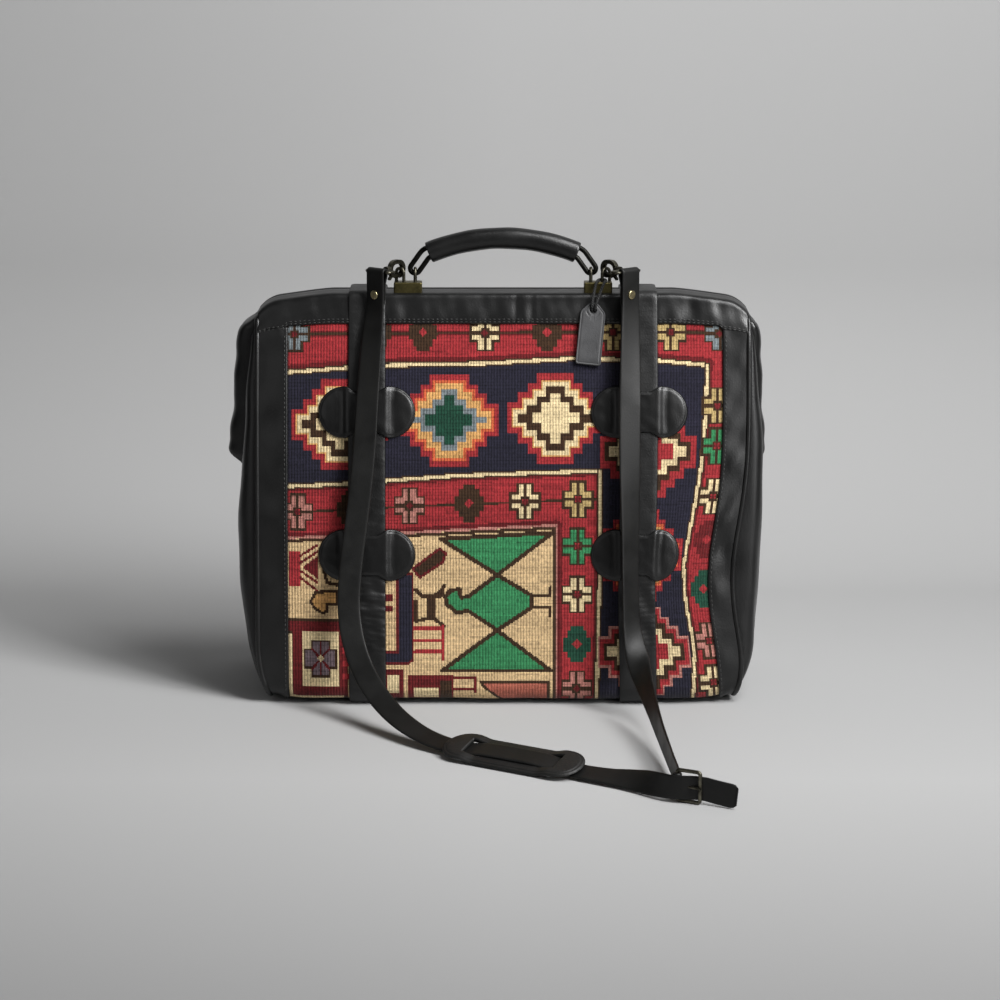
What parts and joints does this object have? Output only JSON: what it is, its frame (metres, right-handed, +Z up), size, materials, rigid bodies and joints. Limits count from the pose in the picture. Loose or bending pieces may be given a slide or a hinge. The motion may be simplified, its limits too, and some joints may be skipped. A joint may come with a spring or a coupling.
{
  "type": "carpet bag",
  "caption": "Upright travel bag of patterned woven carpet with black leather trim, belts, a swinging carry handle and a clip-on shoulder strap.",
  "frame": {"origin": "middle of the bag's footprint, on the surface that it stands on", "axes": "+Z up, +X to the right of someone facing the front, front towards -Y"},
  "size_m": [0.4816, 0.4714, 0.4182],
  "materials": {
    "carpet": "woven wool kilim",
    "black_leather": "soft black leather",
    "strap_leather": "firm black leather",
    "tag_leather": "dark grey leather",
    "cord": "braided cord",
    "frame_steel": "plain",
    "board": "pressed board",
    "bronze": "antique",
    "gunmetal": "dark antique",
    "rivet_brass": "worn"
  },
  "bodies": {
    "bag": {"adjuster_frame": "gunmetal", "adjuster_prong": "gunmetal", "back_carpet": "carpet", "back_left_trim": "black_leather", "back_lower_left_keeper": "black_leather", "back_lower_right_keeper": "black_leather", "back_right_trim": "black_leather", "back_top_band": "black_leather", "back_upper_left_keeper": "black_leather", "back_upper_right_keeper": "black_leather", "base_board": "board", "bottom_panel": "black_leather", "front_carpet": "carpet", "front_frame": "frame_steel", "front_left_trim": "black_leather", "front_lower_left_keeper": "black_leather", "front_lower_right_keeper": "black_leather", "front_right_trim": "black_leather", "front_top_band": "black_leather", "front_upper_left_keeper": "black_leather", "front_upper_right_keeper": "black_leather", "left_belt": "black_leather", "left_belt_loop": "black_leather", "left_bracket": "bronze", "left_buckle": "gunmetal", "left_buckle_prong": "gunmetal", "left_gusset": "black_leather", "left_handle_eye": "gunmetal", "left_hinge_cover": "black_leather", "left_hinge_pin": "frame_steel", "left_snap_eye": "gunmetal", "left_strap_ring": "gunmetal", "left_strap_rivet": "rivet_brass", "left_welt": "black_leather", "long_strap": "strap_leather", "luggage_tag": "tag_leather", "rear_frame": "frame_steel", "right_belt": "black_leather", "right_belt_loop": "black_leather", "right_bracket": "bronze", "right_buckle": "gunmetal", "right_buckle_prong": "gunmetal", "right_gusset": "black_leather", "right_handle_eye": "gunmetal", "right_hinge_cover": "black_leather", "right_hinge_pin": "frame_steel", "right_snap_eye": "gunmetal", "right_strap_ring": "gunmetal", "right_strap_rivet": "rivet_brass", "right_welt": "black_leather", "short_strap": "strap_leather", "shoulder_pad": "strap_leather", "tag_cord": "cord"},
    "handle": {"handle_core": "gunmetal", "handle_grip": "black_leather"},
    "left_snap": {"left_snap_hook": "gunmetal"},
    "right_snap": {"right_snap_hook": "gunmetal"},
    "left_gate": {"left_snap_gate": "gunmetal"},
    "right_gate": {"right_snap_gate": "gunmetal"}
  },
  "joints": [
    {"name": "handle_swing", "type": "hinge", "parent": "bag", "child": "handle", "pos_m": [0, -0.013, 0.3774], "axis": [1, 0, 0], "range_deg": [-90, 90]},
    {"name": "left_snap_swivel", "type": "hinge", "parent": "bag", "child": "left_snap", "pos_m": [-0.0915, -0.013, 0.3818], "axis": [-0.6428, -0.766, 0], "range_deg": [-5, 5]},
    {"name": "left_snap_gate_press", "type": "hinge", "parent": "left_snap", "child": "left_gate", "pos_m": [-0.09847, -0.02131, 0.37697], "axis": [0.766, -0.6428, 0], "range_deg": [0, 30], "stiffness_Nm_per_rad": 0.02, "springref_deg": -11.46},
    {"name": "right_snap_swivel", "type": "hinge", "parent": "bag", "child": "right_snap", "pos_m": [0.0915, -0.013, 0.3818], "axis": [0.6428, -0.766, 0], "range_deg": [-5, 5]},
    {"name": "right_snap_gate_press", "type": "hinge", "parent": "right_snap", "child": "right_gate", "pos_m": [0.09847, -0.02131, 0.37697], "axis": [0.766, 0.6428, 0], "range_deg": [0, 30], "stiffness_Nm_per_rad": 0.02, "springref_deg": -11.46}
  ]
}
